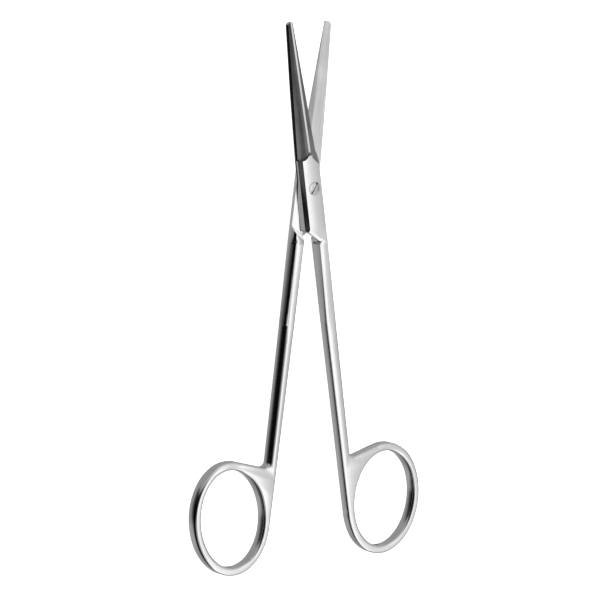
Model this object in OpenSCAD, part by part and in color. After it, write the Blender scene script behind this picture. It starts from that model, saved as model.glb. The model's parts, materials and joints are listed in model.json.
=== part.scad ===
/* [Overall] */
// How far the scissors stand open, as the angle between the two halves
opening = 16; // [0:1:60]
// Thickness of one half at the box joint
lap_t = 2.84; // [2.2:0.02:4]
// Running gap between the flat faces that slide on each other
lap_gap = 0.04; // [0.02:0.01:0.1]

/* [Blades] */
// Pivot to the end of the blunt tip
blade_l = 43.3; // [36:0.2:56]
// Radius of the blunt tip in plan
tip_r = 1.15; // [0.9:0.05:1.8]
// Middle line to the centre of the tip rounding, on the side of the spine
tip_x = 0.33; // [0.2:0.01:1]
// Pivot to the place where the ground faces run out
root_y = 7.6; // [7:0.1:12]
// Middle line to the cutting edge at the root of the blade
root_edge_x = 3.6; // [3:0.05:5]
// Middle line to the spine at the root of the blade
root_spine_x = 3.2; // [2.6:0.05:5]
// Outward bow of the cutting edge
edge_bow = 0.08; // [0:0.01:0.3]
// Outward bow of the spine
spine_bow = 0.1; // [0:0.01:0.2]
// Lean of the upright wall along the spine
spine_lean = 10.5; // [6:0.5:12]
// Thickness of the blade where it is ground down from the box
root_t = 2.6; // [1.9:0.05:2.7]
// Thickness of the blade at its tip
tip_t = 1.35; // [1.1:0.05:1.8]
// Middle line to the ridge between broad facet and top land, at the root
ridge_x = 0.27; // [0.15:0.01:0.5]
// The same at the tip
ridge_tip_x = 0.82; // [0.4:0.01:0.9]
// Width of the top land between ridge and bevel
land_w = 0.56; // [0.3:0.02:0.8]
// Slope of the broad ground facet, down from the ridge to the spine
facet_angle = 28; // [18:0.5:30]
// Radius of the rounded end of the broad facet
facet_end_r = 1.9; // [1.2:0.1:2.4]
// Slope of the bevel, down from the land towards the edge
bevel_angle = 31; // [26:0.5:36]
// Slope of the steep honed strip that makes the edge
hone_angle = 50; // [45:0.5:58]
// Height that the honed strip leaves at the edge
edge_t = 0.2; // [0.12:0.01:0.4]
// Radius of the grinding wheel's run-out at the end of top land and hone
wheel_r = 2; // [1:0.1:3]
// Radius of the longer run-out at the end of the bevel
bevel_wheel_r = 7; // [4:0.5:9]

/* [Serration] */
// Distance from tooth to tooth along the serrated edge
tooth_pitch = 0.5; // [0.4:0.05:1.5]
// Depth of the notches between the teeth
tooth_depth = 0.18; // [0.08:0.01:0.4]
// Pivot to the first tooth
teeth_start = 10; // [9:0.5:20]

/* [Box joint] */
// Widest place of the box on its sliding face, from the middle line
box_x = 3.72; // [3.3:0.02:4.6]
// Middle line to the foot of the upright wall on the spine side
wall_x = 2.95; // [2.7:0.01:3.2]
// How far that wall leans in from its foot to the flat top
wall_lean = 0.17; // [0.05:0.01:0.3]
// Height of the sloped skirt under that wall
skirt_h = 0.82; // [0.4:0.02:1.2]
// Middle line to the flat top's border on the edge side
top_x = 2.4; // [2:0.05:2.8]
// Middle line to the break in the slope below that border
break_x = 3.0; // [2.85:0.05:3.2]
// Height of that break
break_z = 1.95; // [1.4:0.05:2.2]
// Pivot to the foot of the shoulder at the outer side
shoulder_y = 10.2; // [9.4:0.1:16]
// Slant of the shoulder across the half
shoulder_angle = 28; // [22:1:34]
// How far the shoulder leans back, along the scissors, up to the shank's flat
shoulder_run = 1.6; // [0.6:0.1:1.7]
// Gap that stays between shoulder and other half when closed
shoulder_gap = 0.25; // [0.15:0.05:0.6]

/* [Screw] */
// Diameter of the screw head
head_d = 3.5; // [3:0.1:4.2]
// Thickness of the screw head
head_t = 0.9; // [0.6:0.05:1.2]
// Diameter of the plain pivot under the head
pivot_d = 2.4; // [2:0.1:2.8]
// Running clearance all round pivot and head
pivot_gap = 0.04; // [0.02:0.01:0.08]
// Diameter of the end that sits in the lower half's tapped hole
thread_d = 2; // [1.4:0.1:1.9]
// Width of the screwdriver slot
slot_w = 0.5; // [0.3:0.05:0.8]
// Depth of the screwdriver slot
slot_t = 0.4; // [0.2:0.05:0.5]
// Direction of the slot, counted from the +X side
slot_angle = 57; // [0:1:180]

/* [Handles] */
// Thickness of shanks and finger rings
handle_t = 3.4; // [2.6:0.1:4]
// Rounding on the long edges of shanks and rings
edge_r = 0.75; // [0.4:0.05:0.9]
// Chamfer round the shoulder and the end of the box
chamfer = 0.45; // [0.2:0.05:0.6]
// Gap between a shank and the middle line when closed
shank_gap = 0.15; // [0.1:0.05:0.4]
// Middle line to the outer side of a shank, next to the box
neck_x = 3.4; // [3.1:0.02:3.7]
// Middle line to the outer side of a shank, next to the ring
shank_x = 3.2; // [2.8:0.02:3.6]
// Pivot to the end of the long taper from the box down to the shank
neck_y = 36; // [25:0.5:50]
// Place on the ring's rim where the web's edge runs into it, counted round from its outer side
web_touch = 108; // [102:1:118]
// Radius in the corner between shank and web
web_r = 1.5; // [1:0.1:3]
// Pivot to the middle of the finger ring, along the closed scissors
ring_y = 86.6; // [74:0.2:104]
// Middle line to the middle of the finger ring
ring_x = 12.85; // [12.6:0.05:15]
// Width of the finger hole
hole_w = 19.6; // [17:0.1:20]
// Length of the finger hole
hole_l = 25.5; // [22:0.1:28]
// Width of the band round the finger hole
band_w = 2.2; // [1.8:0.05:2.4]
// Lean of the ring, its top away from the middle line
ring_lean = 14.6; // [5:0.2:20]

/* [Hidden] */
over = 0.5;
far = 4 * box_x;
face_z = lap_gap / 2;
top_z = face_z + lap_t;
box_end = shoulder_y + box_x;
side_z = break_z * (box_x - neck_x) / (box_x - break_x);
handle_z = handle_t / 2;
tip_y = blade_l - tip_r;
taper_angle = atan((root_t - tip_t) / (blade_l - root_y));
ridge_angle = atan((ridge_tip_x - ridge_x) / (blade_l - root_y));
spine_angle = atan((root_spine_x - tip_x - tip_r) / (tip_y - root_y));
edge_angle = atan((root_edge_x + tip_x - tip_r) / (tip_y - root_y));
teeth_end = tip_y - 2 * tip_r;
teeth = floor((teeth_end - teeth_start) / tooth_pitch);
half_angle = opening / 2;
ring_long = hole_l / 2 + band_w;
ring_wide = hole_w / 2 + band_w;
ring_turn = ring_lean - half_angle;
ring_reach = sqrt(pow(ring_long * cos(ring_turn), 2) + pow(ring_wide * sin(ring_turn), 2));
ring_side = sqrt(pow(ring_wide * cos(ring_lean), 2) + pow(ring_long * sin(ring_lean), 2));
side_drop = (pow(ring_long, 2) - pow(ring_wide, 2)) * sin(ring_lean) * cos(ring_lean) / ring_side;
touch = [ring_x + ring_wide * cos(web_touch) * cos(ring_lean) + ring_long * sin(web_touch) * sin(ring_lean),
  -ring_y - ring_wide * cos(web_touch) * sin(ring_lean) + ring_long * sin(web_touch) * cos(ring_lean)];
web_slope = atan2(-ring_long * cos(web_touch), ring_wide * sin(web_touch)) - ring_lean;
web_corner = [shank_x + web_r, touch[1] - (touch[0] - shank_x - web_r) * tan(web_slope) + web_r / cos(web_slope)];
top_end = tip_y * cos(half_angle) - tip_x * sin(half_angle) + tip_r;
low_end = -ring_y * cos(half_angle) + ring_x * sin(half_angle) - ring_reach;
steel = [0.78, 0.79, 0.8];
screw_steel = [0.7, 0.71, 0.73];

// Share of the way from the root of the blade to its tip rounding
function way(y) = (y - root_y) / (tip_y - root_y);
function bow(s) = 4 * s * (1 - s);
function edge_x(y) = root_edge_x + (tip_r - tip_x - root_edge_x) * way(y) + edge_bow * bow(way(y));
function spine_x(y) = -root_spine_x + (root_spine_x - tip_x - tip_r) * way(y) - spine_bow * bow(way(y));
// Height on the page of the shoulder line, for a place on the shank side
function shoulder_line(x) = -shoulder_y - (box_x - x) * tan(shoulder_angle);

function plain_edge() = [for (i = [0 : 10]) let (y = root_y + (tip_y - root_y) * i / 10) [edge_x(y), y]];
function toothed_edge() = concat(
  [[root_edge_x, root_y]],
  [for (i = [0 : teeth - 1], k = [0, 1])
    let (y = teeth_start + tooth_pitch * (i + k / 2)) [edge_x(y) - k * tooth_depth, y]],
  [for (y = [teeth_end, tip_y]) [edge_x(y), y]]);

module half_plan(toothed) {
  polygon(concat(
    [[neck_x, -box_end], [box_x, -shoulder_y], [box_x, 0]],
    toothed ? toothed_edge() : plain_edge(),
    [for (a = [15 : 15 : 165]) [tip_r * cos(a) - tip_x, tip_y + tip_r * sin(a)]],
    [for (i = [10 : -1 : 0]) let (y = root_y + (tip_y - root_y) * i / 10) [spine_x(y), y]],
    [[-root_spine_x, root_y / 3], [-box_x, -root_y / 3], [-box_x, -shoulder_y], [-wall_x, wall_x - box_end],
     [shank_gap, -box_end]]));
}

// Frame on the ridge line, whose flat face is the blade's top land
module on_top_land() {
  translate([-ridge_x, root_y, face_z + root_t]) rotate([-taper_angle, 0, ridge_angle]) children();
}
module broad_facet() {
  on_top_land() rotate([0, -facet_angle, 0]) linear_extrude(far) union() {
    translate([-facet_end_r, facet_end_r]) circle(facet_end_r, $fn = 72);
    translate([-far, facet_end_r]) square([far, blade_l]);
  }
}
// What a grinding wheel of radius r takes away above a flat that starts at full depth at y = start
module wheel_cut(r, start) {
  translate([-far / 2, start, 0]) cube([far, blade_l, far]);
  translate([-far / 2, start, r]) rotate([0, 90, 0]) cylinder(h = far, r = r, $fn = 72);
}
module bevel() {
  on_top_land() translate([land_w, 0, 0]) rotate([0, bevel_angle, 0]) translate([far / 2, 0, 0])
    wheel_cut(bevel_wheel_r, bevel_wheel_r / 3);
}
module spine_wall() {
  translate([-root_spine_x - spine_bow, root_y, face_z]) rotate([0, 0, -spine_angle]) rotate([0, spine_lean, 0])
    translate([-far, -over, -over]) cube([far, blade_l, far]);
}
module hone() {
  translate([root_edge_x, root_y, face_z + edge_t]) rotate([0, 0, edge_angle]) rotate([0, hone_angle, 0]) wheel_cut(wheel_r, wheel_r);
}
module along(from, to) {
  translate([0, from, 0]) rotate([90, 0, 0]) linear_extrude(from - to) children();
}
module side_walls() {
  along(root_y, -far) polygon([[wall_lean - wall_x, far], [wall_lean - wall_x, top_z], [-wall_x, face_z + skirt_h],
    [-wall_x - skirt_h - over, face_z - over], [-far, face_z - over], [-far, far]]);
  along(root_y + 2 * wheel_r, -far) polygon([[top_x, far], [top_x, top_z], [break_x, break_z],
    [box_x + (box_x - break_x) * over / break_z, face_z - over], [far, face_z - over], [far, far]]);
}
// Chamfer along the slanting end of the box, which runs on into the rounding of the shank
module end_chamfer() {
  w = edge_r * cos(45);
  translate([shank_gap, -box_end, top_z]) rotate([0, 0, -45]) rotate([90, 0, 90]) linear_extrude(2 * far, center = true)
    polygon([[w * (1 + over / chamfer), over], [-w * over / chamfer, -chamfer - over], [-far, -chamfer - over], [-far, over]]);
}
module blade_and_box(toothed) {
  difference() {
    translate([0, 0, face_z]) linear_extrude(lap_t) half_plan(toothed);
    on_top_land() wheel_cut(wheel_r, wheel_r);
    spine_wall();
    broad_facet();
    bevel();
    hone();
    side_walls();
    end_chamfer();
  }
}

module rounded(r) {
  offset(r = r, $fn = 32) offset(delta = -r) children();
}
// Sections of a half at the end of its box and of its shank, seen along the scissors
module box_section() {
  polygon([[neck_x - chamfer, -handle_z], [neck_x, chamfer - handle_z], [neck_x, side_z], [break_x, break_z], [top_x, top_z],
    [shank_gap + edge_r, top_z], [shank_gap, top_z - chamfer], [shank_gap, chamfer - handle_z], [shank_gap + chamfer, -handle_z]]);
}
module shank_section() {
  rounded(edge_r) translate([shank_gap, -handle_z]) square([neck_x - shank_gap, handle_t]);
}
module neck() {
  hull() {
    along(-box_end, -box_end - face_z) box_section();
    along(face_z - neck_y, -neck_y) shank_section();
  }
}
module block_plan(back) {
  polygon([[box_x, shoulder_line(box_x) - back], [shank_gap, shoulder_line(shank_gap) - back],
    [shank_gap, -box_end - over], [neck_x, -box_end - over]]);
}
// Block under the sliding face, with a shoulder that leans back from the face to the shank's flat
module shoulder_block() {
  hull() {
    translate([0, 0, -face_z]) linear_extrude(2 * face_z) block_plan(0);
    translate([0, 0, chamfer - handle_z]) linear_extrude(face_z) block_plan(shoulder_run * (1 - chamfer / handle_z));
    translate([0, 0, -handle_z]) linear_extrude(face_z) offset(delta = -chamfer) block_plan(shoulder_run - chamfer);
  }
}
// Room for the other half's shoulder when the scissors are closed
module shoulder_room() {
  roof = handle_z + lap_gap;
  lean = shoulder_run * cos(shoulder_angle) / handle_z;
  intersection() {
    translate([-box_x, -shoulder_y, 0]) rotate([0, 0, -shoulder_angle]) rotate([90, 0, 90]) linear_extrude(2 * far, center = true)
      polygon([[shoulder_gap, -far], [shoulder_gap, 0], [shoulder_gap - lean * roof, roof], [-far, roof], [-far, -far]]);
    translate([shank_gap - 2 * far, -2 * far, -far]) cube([2 * far, 2 * far, 2 * far]);
  }
}
module oval(grow) {
  translate([ring_x, -ring_y]) rotate(-ring_lean) scale([hole_w / 2 + grow, hole_l / 2 + grow]) circle(1, $fn = 80);
}
module handle_plan() {
  difference() {
    union() {
      oval(band_w);
      polygon(concat(
        [[shank_gap, 2 * edge_r - neck_y], [neck_x, 2 * edge_r - neck_y]],
        [for (i = [0 : 6]) let (a = 180 + (90 + web_slope) * i / 6) web_corner + web_r * [cos(a), sin(a)]],
        [touch, [ring_x, -ring_y], [ring_x - ring_side, -ring_y - side_drop]]));
    }
    oval(0);
  }
}
module handle() {
  minkowski() {
    translate([0, 0, -handle_z + edge_r]) linear_extrude(handle_t - 2 * edge_r) offset(delta = -edge_r) handle_plan();
    rotate_extrude($fn = 12) polygon([for (a = [-90 : 22.5 : 90]) edge_r * [cos(a), sin(a)]]);
  }
}
module half(toothed) {
  difference() {
    union() {
      blade_and_box(toothed);
      shoulder_block();
      neck();
      handle();
    }
    shoulder_room();
  }
}
module at_rest(turn) {
  translate([0, -(top_end + low_end) / 2, top_z]) rotate([0, 0, turn]) children();
}

module upper_half() {
  color(steel) at_rest(half_angle) difference() {
    half(false);
    translate([0, 0, -over]) cylinder(h = far, d = pivot_d + 2 * pivot_gap, $fn = 96);
    translate([0, 0, top_z - head_t - pivot_gap]) cylinder(h = far, d = head_d + 2 * pivot_gap, $fn = 96);
  }
}
module lower_half() {
  color(steel) at_rest(-half_angle) difference() {
    rotate([0, 180, 0]) half(true);
    translate([0, 0, -far]) cylinder(h = 2 * far, d = thread_d, $fn = 96);
  }
}
module pivot_screw() {
  color(screw_steel) at_rest(-half_angle) difference() {
    union() {
      translate([0, 0, -top_z]) cylinder(h = top_z, d = thread_d, $fn = 96);
      translate([0, 0, -face_z]) cylinder(h = top_z + face_z - head_t / 2, d = pivot_d, $fn = 96);
      translate([0, 0, top_z - head_t]) cylinder(h = head_t, d = head_d, $fn = 96);
    }
    rotate(slot_angle + half_angle) translate([-head_d, -slot_w / 2, top_z - slot_t]) cube([2 * head_d, slot_w, slot_t + over]);
  }
}

upper_half();
lower_half();
pivot_screw();
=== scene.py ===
import json
import math
import bpy
from mathutils import Matrix, Vector


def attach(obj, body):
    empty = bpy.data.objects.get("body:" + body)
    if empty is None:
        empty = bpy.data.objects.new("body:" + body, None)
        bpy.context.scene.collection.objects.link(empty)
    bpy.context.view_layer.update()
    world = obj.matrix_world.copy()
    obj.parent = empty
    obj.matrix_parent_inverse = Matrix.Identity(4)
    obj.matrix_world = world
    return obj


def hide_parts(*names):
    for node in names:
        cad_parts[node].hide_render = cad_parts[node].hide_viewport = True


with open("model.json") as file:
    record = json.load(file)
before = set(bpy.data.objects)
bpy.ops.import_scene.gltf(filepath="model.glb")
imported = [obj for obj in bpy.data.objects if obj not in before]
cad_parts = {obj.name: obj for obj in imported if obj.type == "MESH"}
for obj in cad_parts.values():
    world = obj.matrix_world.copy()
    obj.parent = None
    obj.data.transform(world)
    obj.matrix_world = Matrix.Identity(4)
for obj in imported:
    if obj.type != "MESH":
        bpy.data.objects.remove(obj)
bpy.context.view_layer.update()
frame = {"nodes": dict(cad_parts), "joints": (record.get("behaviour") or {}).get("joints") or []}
mm = 0.001
pivot = Vector(frame["joints"][0]["pos_m"])
print("frame loaded, pivot at", tuple(round(v, 5) for v in pivot))


def toLinear(hexColour):
    # sRGB hex to Blender's linear colour
    parts = [int(hexColour[i:i + 2], 16) / 255 for i in (0, 2, 4)]
    return tuple(p / 12.92 if p <= 0.04045 else ((p + 0.055) / 1.055) ** 2.4 for p in parts) + (1.0,)


def addNode(tree, kind, settings=None, links=None):
    # one node with its settings and its incoming links
    node = tree.nodes.new(kind)
    for key, value in (settings or {}).items():
        if key in node.inputs.keys():
            node.inputs[key].default_value = value
        else:
            setattr(node, key, value)
    for key, socket in (links or {}).items():
        tree.links.new(socket, node.inputs[key])
    return node


def setRamp(node, stops):
    # fills a colour ramp from pairs of place and grey or colour
    ramp = node.color_ramp
    while len(ramp.elements) > 1:
        ramp.elements.remove(ramp.elements[-1])
    ramp.elements[0].position = stops[0][0]
    for place, value in stops[1:]:
        ramp.elements.new(place)
    for element, (place, value) in zip(ramp.elements, stops):
        element.color = value if isinstance(value, tuple) else (value, value, value, 1)
    return node


def newMaterial(name):
    material = bpy.data.materials.new(name)
    material.use_nodes = True
    material.node_tree.nodes.clear()
    return material, material.node_tree


def steelFinish(finish, turn=0.0):
    # polished, ground or milled stainless steel: the wheel's lines run along the piece, over soft patches of cleaner metal
    material, tree = newMaterial(finish["name"])
    clean = toLinear(finish["colour"])
    dull = tuple(c * (1 - finish["patchContrast"]) for c in clean[:3]) + (1,)
    place = addNode(tree, "ShaderNodeTexCoord")
    along = addNode(tree, "ShaderNodeMapping", {"vector_type": "TEXTURE", "Rotation": (0, 0, turn)}, {"Vector": place.outputs["Object"]})
    stretch = addNode(tree, "ShaderNodeMapping", {"Scale": (1 / finish["lineSpacing"], 1 / finish["lineLength"], 1 / finish["lineSpacing"])},
                      {"Vector": along.outputs["Vector"]})
    lines = addNode(tree, "ShaderNodeTexNoise", {"Scale": 1.0, "Detail": 3.0, "Roughness": 0.6}, {"Vector": stretch.outputs["Vector"]})
    patches = addNode(tree, "ShaderNodeTexNoise", {"Scale": 1 / finish["patchSize"], "Detail": 2.0}, {"Vector": place.outputs["Object"]})
    worn = addNode(tree, "ShaderNodeMath", {"operation": "MULTIPLY"}, {0: lines.outputs["Fac"], 1: patches.outputs["Fac"]})
    tone = setRamp(addNode(tree, "ShaderNodeValToRGB", None, {"Fac": worn.outputs["Value"]}), [(0.15, dull), (0.36, clean)])
    rough = addNode(tree, "ShaderNodeMapRange", {"From Min": 0.3, "From Max": 0.7, "To Min": finish["roughness"] * 0.85,
                    "To Max": finish["roughness"] * 1.2}, {"Value": lines.outputs["Fac"]})
    bump = addNode(tree, "ShaderNodeBump", {"Strength": 1.0, "Distance": finish["lineDepth"]}, {"Height": lines.outputs["Fac"]})
    shader = addNode(tree, "ShaderNodeBsdfPrincipled", {"Metallic": 1.0},
                     {"Base Color": tone.outputs["Color"], "Roughness": rough.outputs["Result"], "Normal": bump.outputs["Normal"]})
    addNode(tree, "ShaderNodeOutputMaterial", None, {"Surface": shader.outputs["BSDF"]})
    return material


# forged halves: every length in mm, seen from the pivot with +y along the closed blades
forgingSettings = {
    "halfAngle": 8,                             # degrees, each half's own turn
    "mergeDistance": 0.002,
    "flatAngle": 0.4,                           # degrees, below this faces count as one flat
    "groundSharpAngle": 15,                     # degrees, ground facets meet crisply
    "handleSharpAngle": 40,                     # degrees, the rounded handles flow
    "bladeRoot": 7.6,
    "boxEnd": -10.8,
    "boxCrown": 9.0,                            # degrees, lean of the buffed box top at its borders
    "boxStrips": (-2.6, -1.8, -1.0, 0.0, 1.0, 2.0, 3.0),
    "boxCuts": (-13.0, -11.5, -10.0, -8.5, 6.0, 7.4),
    "handleCuts": (-15, -18, -22, -27, -32, -36, -41, -46, -51, -56, -61, -66, -71, -76, -80, -83, -86, -89, -92, -96, -100, -104, -108, -112),
    "lapLean": 8.0,                             # degrees, buffed border of the lower lap face
    "skirtLean": 29.0,                          # degrees, how the worn slanting skirt of the box catches the light
    "skirtSide": (-0.98, -0.2),
    "shadowLine": ((1.0, 2.84), (-9.0, 3.5)),   # y and height: below this line the skirt mirrors the dark joint
    "runout": (4.5, 10.0),                      # where the facet's cutter ran out, along the blade
    "runoutLean": 22.0,
    "bevelTwist": 0.55,
    "facetTwist": 0.45,                         # the hollow-ground facet leans up a little towards its root
    "skirtFoot": 3.5,                           # height where the slanting skirt of the box ends
    "edgeStrip": 0.42,                          # worn strip along the serrated edge of the lower blade
    "edgeLean": 12.0,
    # how the buffing wheel rounded the borders: real slope and the slope that the polish shows, in degrees
    "tightBorder": ((0, 0), (3, 7), (45, 13), (56, 42), (68, 66), (79, 80), (90, 90)),
    "wideBorder": ((0, 0), (3, 16), (12, 25), (45, 50), (68, 68), (79, 77), (87, 84), (90, 90)),
    "fallingBorder": ((0, 0), (3, 6), (12, 14), (45, 45), (90, 90)),
    "leftBorder": 6.0,                          # the upper handle's outer left border lies left of this
    "webHeight": -86.0,                         # the lower shank's border ends at the ring's web
    "ringLean": 3.5,                            # degrees, the rings and webs lie a little inwards
    "polished": {"name": "Stainless steel, forged and polished", "colour": "DCDCDC", "roughness": 0.16, "lineSpacing": 0.3,
                 "lineLength": 14.0, "lineDepth": 0.0003, "patchSize": 9.0, "patchContrast": 0.08},
    "facet": {"name": "Stainless steel, ground satin facet", "colour": "9C9D9E", "roughness": 0.36, "lineSpacing": 0.5,
              "lineLength": 13.0, "lineDepth": 0.003, "patchSize": 6.0, "patchContrast": 0.38},
    "flat": {"name": "Stainless steel, surface ground flat", "colour": "D8D8D8", "roughness": 0.24, "lineSpacing": 0.6,
             "lineLength": 14.0, "lineDepth": 0.002, "patchSize": 7.0, "patchContrast": 0.2},
    # milled walls: a real rougher milled finish, plus a darker steel colour that is painted shade on the upper box's
    # left side walls
    "milled": {"name": "Stainless steel, milled wall", "colour": "ACACAD", "roughness": 0.38, "lineSpacing": 0.3,
               "lineLength": 6.0, "lineDepth": 0.0006, "patchSize": 5.0, "patchContrast": 0.25},
}
for key in ("polished", "facet", "flat", "milled"):
    for size in ("lineSpacing", "lineLength", "lineDepth", "patchSize"):
        forgingSettings[key][size] *= mm


def toBladeFrame(point, turn):
    # a point in a half's own closed frame, in mm, pivot at the origin and +y along the blade
    return Matrix.Rotation(-turn, 3, "Z") @ (Vector(point) - pivot) / mm


def finishOf(face, turn, raised):
    # 0 polished, 1 ground facet, 2 ground flat, 3 milled wall whose darker steel colour is painted shade
    local = toBladeFrame(face.center, turn)
    normal = Matrix.Rotation(-turn, 3, "Z") @ face.normal
    onWall = raised and local.x < 0 and normal.z < 0.3
    if local.y > forgingSettings["bladeRoot"]:
        if normal.z > 0.98:
            return 0 if raised else 2
        return 0 if onWall else 1
    if raised and local.y > 5.5 and 0.3 < normal.z < 0.98:
        return 1 if local.x > -2.9 else 0
    # the upper box's left side walls take the darker milled colour, which is painted shade
    if onWall and local.y > forgingSettings["boxEnd"]:
        return 3
    return 0


def selectFaces(mesh, test):
    # selects in edit mode the faces that pass a test
    bpy.ops.mesh.select_all(action="DESELECT")
    bpy.ops.object.mode_set(mode="OBJECT")
    for face in mesh.polygons:
        face.select = test(face)
    bpy.ops.object.mode_set(mode="EDIT")


def liesFlat(mesh, face, height):
    # an upward flat face at a height
    heights = [mesh.vertices[v].co.z / mm for v in face.vertices]
    return max(heights) - min(heights) < 0.01 and abs(heights[0] - height) < 0.02 and face.normal.z > 0.9


def onSkirt(face, turn):
    # the slanting foot of the upper box's left wall
    middle = toBladeFrame(face.center, turn)
    return forgingSettings["boxEnd"] < middle.y < forgingSettings["bladeRoot"] + 1 and middle.x < 0 and 0.5 < face.normal.z < 0.8


def makeForging(nodeName, pieceName, bodyName, turn, raised):
    # the visible half: the solid's own shape, merged to one skin, with crisp ground facets and flowing handles
    settings = forgingSettings
    spin = Matrix.Rotation(turn, 3, "Z")
    bpy.ops.object.select_all(action="DESELECT")
    piece = bpy.data.objects.new(pieceName, frame["nodes"][nodeName].data.copy())
    bpy.context.collection.objects.link(piece)
    bpy.context.view_layer.objects.active = piece
    piece.select_set(True)
    mesh = piece.data
    bpy.ops.object.mode_set(mode="EDIT")
    bpy.ops.mesh.select_all(action="SELECT")
    bpy.ops.mesh.remove_doubles(threshold=settings["mergeDistance"] * mm)
    bpy.ops.mesh.dissolve_limited(angle_limit=math.radians(settings["flatAngle"]))
    bpy.ops.mesh.normals_make_consistent(inside=False)

    # the box top and the lap face get strips along their length, for the buffing wheel's crown
    topHeight = 5.72 if raised else 2.84
    cuts = [((x, 0), (1, 0)) for x in settings["boxStrips"]] + [((0, y), (0, 1)) for y in settings["boxCuts"]]
    if not raised:
        root, tip = edgeLine(settings["edgeStrip"])
        cuts.append((root, (tip[1] - root[1], root[0] - tip[0])))
    for y in settings["handleCuts"]:
        bpy.ops.mesh.select_all(action="SELECT")
        bpy.ops.mesh.bisect(plane_co=pivot + spin @ Vector((0, y, 0)) * mm, plane_no=spin @ Vector((0, 1, 0)), threshold=1e-6)
    for place, across in cuts:
        selectFaces(mesh, lambda face: liesFlat(mesh, face, topHeight))
        bpy.ops.mesh.bisect(plane_co=pivot + spin @ Vector((*place, 0)) * mm, plane_no=spin @ Vector((*across, 0)), threshold=1e-6)
    if raised:
        (y0, z0), (y1, z1) = settings["shadowLine"]
        selectFaces(mesh, lambda face: onSkirt(face, turn))
        bpy.ops.mesh.bisect(plane_co=Vector((pivot.x, pivot.y, 0)) + spin @ Vector((0, y0, z0)) * mm,
                            plane_no=spin @ Vector((0, z0 - z1, y1 - y0)), threshold=1e-6)
    bpy.ops.object.mode_set(mode="OBJECT")

    mesh.materials.clear()
    for key in ("polished", "facet", "flat", "milled"):
        mesh.materials.append(finishes[nodeName][key])
    normals = {}
    for face in mesh.polygons:
        face.material_index = finishOf(face, turn, raised)
        face.use_smooth = True
        for key in face.edge_keys:
            normals.setdefault(key, []).append(face.normal.copy())
    for edge in mesh.edges:
        pair = normals.get(tuple(sorted(edge.vertices)), [])
        middle = toBladeFrame((mesh.vertices[edge.vertices[0]].co + mesh.vertices[edge.vertices[1]].co) / 2, turn)
        limit = settings["groundSharpAngle"] if middle.y > settings["boxEnd"] else settings["handleSharpAngle"]
        edge.use_edge_sharp = len(pair) == 2 and pair[0].angle(pair[1], 0) > math.radians(limit)
    ground = piece.vertex_groups.new(name="groundPart")
    ground.add([v.index for v in mesh.vertices if toBladeFrame(v.co, turn).y > settings["boxEnd"]], 1.0, "REPLACE")
    weighted = piece.modifiers.new("flatFacesStayFlat", "WEIGHTED_NORMAL")
    weighted.keep_sharp = True
    weighted.weight = 80
    weighted.vertex_group = "groundPart"
    bpy.ops.object.modifier_apply(modifier=weighted.name)
    buffBorders(mesh, turn, raised, topHeight)
    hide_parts(nodeName)
    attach(piece, bodyName)
    print(pieceName, "has", len(mesh.polygons), "faces")
    return piece


def edgeLine(inside):
    # root and tip of a line beside the lower blade's serrated edge
    return (-3.6 + inside, 7.6), (-0.82 + inside, 42.15)


def between(table, value):
    # straight-line reading of a table of pairs
    for (x0, y0), (x1, y1) in zip(table, table[1:]):
        if value <= x1:
            return y0 + (y1 - y0) * (value - x0) / (x1 - x0)
    return table[-1][1]


def rise(value, start, end):
    return max(0.0, min(1.0, (value - start) / (end - start)))


def leaned(degrees, towards=(1, 0)):
    # an upward direction leaned towards one side
    lean = math.radians(degrees)
    return Vector((math.sin(lean) * towards[0], math.sin(lean) * towards[1], math.cos(lean)))


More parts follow.
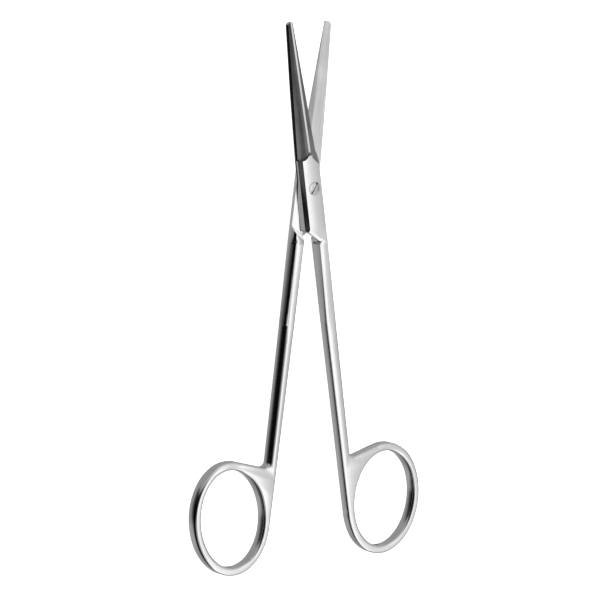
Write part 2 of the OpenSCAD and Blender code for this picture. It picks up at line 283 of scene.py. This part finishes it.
def buffBorders(mesh, turn, raised, topHeight):
    # sets the shading of the corners as a buffing wheel leaves them: crowned flats and softened borders
    s = forgingSettings
    toWorld = Matrix.Rotation(turn, 3, "Z")
    toLocal = toWorld.transposed()
    shading = [toLocal @ corner.vector for corner in mesh.corner_normals]
    for face in mesh.polygons:
        middle = toBladeFrame(face.center, turn)
        normal = toLocal @ face.normal
        onTop = normal.z > 0.99 and abs(face.center.z / mm - topHeight) < 0.02
        for loop in face.loop_indices:
            local = toBladeFrame(mesh.vertices[mesh.loops[loop].vertex_index].co, turn)
            now = shading[loop]
            if local.y < s["boxEnd"] and now.z > 0.001:
                # borders of the handles
                slope = math.degrees(math.acos(min(1.0, now.z)))
                side = Vector((now.x, now.y)).normalized() if slope > 0.5 else Vector((0, 0))
                table, strength = None, 0.0
                if side.x < 0 and raised and local.x < s["leftBorder"]:
                    table, strength = s["tightBorder"], rise(-side.x, 0.3, 0.8)
                elif side.x < 0 and not raised and local.y > s["webHeight"]:
                    table, strength = s["wideBorder"], rise(-side.x, 0.3, 0.8) * rise(local.y, s["webHeight"], s["webHeight"] + 6)
                elif side.x > 0:
                    table, strength = s["fallingBorder"], rise(side.x, 0.3, 0.8)
                if table:
                    now = leaned(slope + (between(table, slope) - slope) * strength, side)
                now = now.lerp(leaned(-s["ringLean"]), rise(-local.y, 68, 84) * rise(-slope, -14, -3))
            if onTop and raised:
                crowned = leaned(s["boxCrown"] * max(-1.1, min(1.0, local.x / 3.2)))
                now = now.lerp(crowned, rise(local.y, -13.5, -9.5))
            elif onTop:
                share = rise(local.y, -14, -12) * rise(-local.y, -9, -6)
                now = now.lerp(leaned(-s["lapLean"] * rise(-local.x, 0, 1.5)), share)
                root, tip = edgeLine(s["edgeStrip"])
                beside = (middle.x - root[0]) - (middle.y - root[1]) * (tip[0] - root[0]) / (tip[1] - root[1])
                if middle.y > s["bladeRoot"] and beside < 0:
                    now = leaned(s["edgeLean"])
            elif raised and s["runout"][0] < middle.y < s["runout"][1] and normal.y > 0.12 and 0.3 < normal.z and normal.x < 0.2:
                now = leaned(-s["runoutLean"])
            elif raised and s["boxEnd"] < middle.y < s["bladeRoot"] + 1 and middle.x < 0:
                (y0, z0), (y1, z1) = s["shadowLine"]
                inShadow = face.center.z / mm < z0 + (middle.y - y0) * (z1 - z0) / (y1 - y0)
                if 0.5 < normal.z < 0.8:
                    now = now if inShadow else leaned(s["skirtLean"], s["skirtSide"])
                elif normal.z < 0.02 and face.center.z / mm < s["skirtFoot"] and local.y > s["boxEnd"]:
                    now = Vector((normal.x, normal.y, 1))
            elif raised and local.y > s["bladeRoot"] and normal.x < -0.2 and 0.8 < normal.z < 0.98:
                now = now.lerp(Vector((0, 0, 1)), s["facetTwist"] * rise(-local.y, -38, -8))
            elif raised and local.y > s["bladeRoot"] and normal.x > 0.2 and 0.8 < normal.z < 0.98:
                now = now.lerp(Vector((0, 0, 1)), s["bevelTwist"] * rise(-local.y, -22, -8))
            elif not raised and -14 < middle.y < -10 and 0.5 < normal.z < 0.8 and normal.x > 0.3 and normal.y > 0.3:
                now = now.lerp(leaned(-8.5), 0.85)
            shading[loop] = now.normalized()
    mesh.normals_split_custom_set([tuple(toWorld @ v) for v in shading])


halfTurn = math.radians(forgingSettings["halfAngle"])
finishes = {
    node: {key: steelFinish(forgingSettings[key], turn) for key in ("polished", "facet", "flat", "milled")}
    for node, turn in (("upper_half", halfTurn), ("lower_half", -halfTurn))
}
makeForging("upper_half", "upperForging", "upper", halfTurn, True)
makeForging("lower_half", "lowerForging", "lower", -halfTurn, False)

# pivot screw: lengths in mm
screwSettings = {
    "sides": 96,
    "headRadius": 1.75,
    "headBottom": 4.82,
    "headTop": 5.72,
    "collar": 0.26,                             # flush rim, buffed together with the box top
    "groove": 0.08,
    "rimDrop": 0.13,                            # the head inside the rim is turned with a low dome
    "domeRings": 4,
    "bodyRadius": 1.2,
    "threadRadius": 1.0,
    "face": 2.84,
    "slotWidth": 0.76,
    "slotDepth": 0.5,
    "slotShift": 0.12,                          # to the left
    "slotTilt": -10,                            # degrees, the saw leaned a little
    "slotAngle": 57,                            # degrees from +X
    "edgeBevel": 0.05,
    "finish": {"name": "Stainless steel, turned screw", "colour": "CACACA", "roughness": 0.2, "lineSpacing": 0.25 * mm,
               "lineLength": 1.2 * mm, "lineDepth": 0.0005 * mm, "patchSize": 1.5 * mm, "patchContrast": 0.15},
}


def makeScrew():
    s = screwSettings
    rim = s["headTop"]
    bpy.ops.object.select_all(action="DESELECT")
    bpy.ops.mesh.primitive_cylinder_add(vertices=s["sides"], radius=s["headRadius"] * mm, depth=(rim - s["headBottom"]) * mm,
                                        location=(pivot.x, pivot.y, (rim + s["headBottom"]) / 2 * mm))
    screw = bpy.context.object
    screw.name = "turnedScrew"
    bpy.ops.object.transform_apply(location=True, rotation=True, scale=True)
    bpy.ops.object.mode_set(mode="EDIT")
    bpy.ops.mesh.select_mode(type="FACE")

    # flush collar, groove, then a low dome by insets, each ring a little flatter than the one outside it
    selectFaces(screw.data, lambda face: face.normal.z > 0.9)
    bpy.ops.mesh.inset(thickness=s["collar"] * mm, depth=0)
    bpy.ops.mesh.inset(thickness=s["groove"] * mm, depth=0)
    bpy.ops.transform.translate(value=(0, 0, -s["rimDrop"] * mm))
    rings = s["domeRings"]
    step = (s["headRadius"] - s["collar"] - s["groove"]) / (rings + 0.6)
    for ring in range(rings):
        lift = s["rimDrop"] * ((1 - (ring / rings)) ** 2 - (1 - ((ring + 1) / rings)) ** 2)
        bpy.ops.mesh.inset(thickness=step * mm, depth=0)
        bpy.ops.transform.translate(value=(0, 0, lift * mm))

    # shouldered body and thread core, down to the riveted end
    selectFaces(screw.data, lambda face: face.normal.z < -0.9)
    bpy.ops.mesh.inset(thickness=(s["headRadius"] - s["bodyRadius"]) * mm, depth=0)
    bpy.ops.mesh.extrude_region_move(TRANSFORM_OT_translate={"value": (0, 0, (s["face"] - s["headBottom"]) * mm)})
    bpy.ops.mesh.inset(thickness=(s["bodyRadius"] - s["threadRadius"]) * mm, depth=0)
    bpy.ops.mesh.extrude_region_move(TRANSFORM_OT_translate={"value": (0, 0, -s["face"] * mm)})
    bpy.ops.object.mode_set(mode="OBJECT")

    angle = math.radians(s["slotAngle"])
    across = Vector((-math.sin(angle), math.cos(angle), 0))
    bpy.ops.mesh.primitive_cube_add(size=1, location=Vector((pivot.x, pivot.y, (s["headTop"] - s["slotDepth"] + 0.5) * mm)) + across * s["slotShift"] * mm,
                                    rotation=(math.radians(s["slotTilt"]), 0, angle))
    cutter = bpy.context.object
    cutter.scale = (3 * s["headRadius"] * mm, s["slotWidth"] * mm, 1.0 * mm)
    bpy.ops.object.transform_apply(location=True, rotation=True, scale=True)
    bpy.ops.object.select_all(action="DESELECT")
    screw.select_set(True)
    bpy.context.view_layer.objects.active = screw
    slot = screw.modifiers.new("driverSlot", "BOOLEAN")
    slot.operation = "DIFFERENCE"
    slot.object = cutter
    bpy.ops.object.modifier_apply(modifier=slot.name)
    bpy.data.objects.remove(cutter)
    soft = screw.modifiers.new("turnedEdges", "BEVEL")
    soft.width = s["edgeBevel"] * mm
    soft.segments = 2
    soft.limit_method = "ANGLE"
    soft.angle_limit = math.radians(40)
    bpy.ops.object.modifier_apply(modifier=soft.name)
    bpy.ops.object.shade_smooth_by_angle(angle=math.radians(30))
    screw.data.materials.append(steelFinish(s["finish"], math.radians(s["slotAngle"])))
    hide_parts("pivot_screw")
    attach(screw, "lower")
    print("turnedScrew has", len(screw.data.polygons), "faces")


makeScrew()

# studio: a white sheet and soft light bands round the length of the scissors
studioSettings = {
    "sheetSize": 6,
    "sheetColour": "FFFFFF",
    "sheetGlow": 1.0,                           # washes out the shadows, as on the photograph
    "sideBands": [(-180, 0.45), (-147, 0.42), (-140, 0.12), (-132, 0.003), (-24, 0.003), (-8, 0.2), (4, 0.3), (13, 1.0), (17, 1.6), (27, 1.4),
                  (34, 0.97), (44, 0.78), (54, 0.66), (76, 0.5), (92, 0.16), (110, 0.16), (122, 0.05), (138, 0.05), (148, 0.42), (180, 0.45)],
    "nearBands": [(-180, 0.5), (-146, 0.5), (-140, 0.3), (-134, 0.18), (-126, 0.004), (-48, 0.004), (-38, 0.42), (-6, 0.45), (8, 0.6), (17, 1.6),
                  (27, 1.4), (34, 0.95), (44, 0.78), (54, 0.66), (76, 0.6), (110, 0.5), (130, 0.4), (148, 0.5), (180, 0.5)],
    "farBands": [(-180, 0.4), (-147, 0.4), (-138, 0.08), (-130, 0.005), (-24, 0.01), (-8, 0.2), (14, 0.9), (20, 1.5), (27, 1.25), (34, 0.95), (54, 0.7), (84, 0.7),
                 (110, 0.8), (138, 0.5), (150, 0.4), (180, 0.4)],
    "rearBands": [(-180, 0.4), (-100, 0.4), (-40, 0.55), (30, 0.95), (60, 0.7), (120, 0.5), (180, 0.4)],
    "frontBands": [(-180, 0.3), (-147, 0.3), (-138, 0.02), (-30, 0.02), (-14, 1.2), (10, 1.4), (40, 1.4), (54, 0.7), (84, 0.6), (110, 0.5),
                   (138, 0.3), (180, 0.3)],
}


def makeSheet():
    s = studioSettings
    bpy.ops.object.select_all(action="DESELECT")
    bpy.ops.mesh.primitive_plane_add(size=s["sheetSize"], location=(0, 0, 0))
    sheet = bpy.context.object
    sheet.name = "paleFloor"
    material, tree = newMaterial("White paper sheet")
    shader = addNode(tree, "ShaderNodeBsdfPrincipled", {"Base Color": toLinear(s["sheetColour"]), "Roughness": 0.9,
                     "Specular IOR Level": 0.1, "Emission Color": (1, 1, 1, 1), "Emission Strength": s["sheetGlow"]})
    addNode(tree, "ShaderNodeOutputMaterial", None, {"Surface": shader.outputs["BSDF"]})
    sheet.data.materials.append(material)
    sheet.visible_glossy = False                # polished steel sees the studio, not the bare sheet


def makeStudio():
    s = studioSettings
    world = bpy.data.worlds.new("softStudio")
    bpy.context.scene.world = world
    world.use_nodes = True
    tree = world.node_tree
    tree.nodes.clear()
    place = addNode(tree, "ShaderNodeTexCoord")
    parts = addNode(tree, "ShaderNodeSeparateXYZ", None, {"Vector": place.outputs["Generated"]})
    turn = addNode(tree, "ShaderNodeMath", {"operation": "ARCTAN2"}, {0: parts.outputs["X"], 1: parts.outputs["Z"]})
    share = addNode(tree, "ShaderNodeMapRange", {"From Min": -math.pi, "From Max": math.pi}, {"Value": turn.outputs["Value"]})
    # light and dark bands by the angle from straight up towards +X
    bands = {}
    for key in ("sideBands", "nearBands", "farBands", "rearBands", "frontBands"):
        bands[key] = setRamp(addNode(tree, "ShaderNodeValToRGB", None, {"Fac": share.outputs["Result"]}),
                             [(angle / 360 + 0.5, value) for angle, value in s[key]])
    toNear = addNode(tree, "ShaderNodeMapRange", {"From Min": -0.16, "From Max": -0.28}, {"Value": parts.outputs["Y"]})
    toFar = addNode(tree, "ShaderNodeMapRange", {"From Min": 0.14, "From Max": 0.28}, {"Value": parts.outputs["Y"]})
    toRear = addNode(tree, "ShaderNodeMapRange", {"From Min": 0.42, "From Max": 0.58}, {"Value": parts.outputs["Y"]})
    toFront = addNode(tree, "ShaderNodeMapRange", {"From Min": -0.5, "From Max": -0.7}, {"Value": parts.outputs["Y"]})
    near = addNode(tree, "ShaderNodeMix", {"data_type": "RGBA"})
    far = addNode(tree, "ShaderNodeMix", {"data_type": "RGBA"})
    rear = addNode(tree, "ShaderNodeMix", {"data_type": "RGBA"})
    front = addNode(tree, "ShaderNodeMix", {"data_type": "RGBA"})
    for mix, factor, first, second in ((near, toNear, bands["sideBands"].outputs["Color"], bands["nearBands"].outputs["Color"]),
                                       (far, toFar, near.outputs[2], bands["farBands"].outputs["Color"]),
                                       (rear, toRear, far.outputs[2], bands["rearBands"].outputs["Color"]),
                                       (front, toFront, rear.outputs[2], bands["frontBands"].outputs["Color"])):
        tree.links.new(factor.outputs["Result"], mix.inputs[0])
        tree.links.new(first, mix.inputs[6])
        tree.links.new(second, mix.inputs[7])
    light = addNode(tree, "ShaderNodeBackground", {"Strength": 1.0}, {"Color": front.outputs[2]})
    addNode(tree, "ShaderNodeOutputWorld", None, {"Surface": light.outputs["Background"]})


makeSheet()
makeStudio()
print("sheet and studio made")

cameraSettings = {
    "place": (-0.47382, 0.09635, 0.62845),      # metres, from a perspective fit to the photograph
    "right": (0.79890, 0.00361, 0.60145),
    "up": (0.07134, 0.99235, -0.10071),
    "back": (-0.59722, 0.12336, 0.79254),
    "lens": 182.9,                              # mm on a 36 mm wide sensor
}
cameraData = bpy.data.cameras.new("photoCamera")
camera = bpy.data.objects.new("photoCamera", cameraData)
bpy.context.collection.objects.link(camera)
cameraData.lens = cameraSettings["lens"]
cameraData.sensor_width = 36
cameraData.dof.use_dof = False
axes = Matrix([cameraSettings["right"], cameraSettings["up"], cameraSettings["back"]]).transposed().to_4x4()
camera.matrix_world = Matrix.Translation(cameraSettings["place"]) @ axes
bpy.context.scene.camera = camera
bpy.context.scene.view_settings.view_transform = "Standard"
print("camera placed")
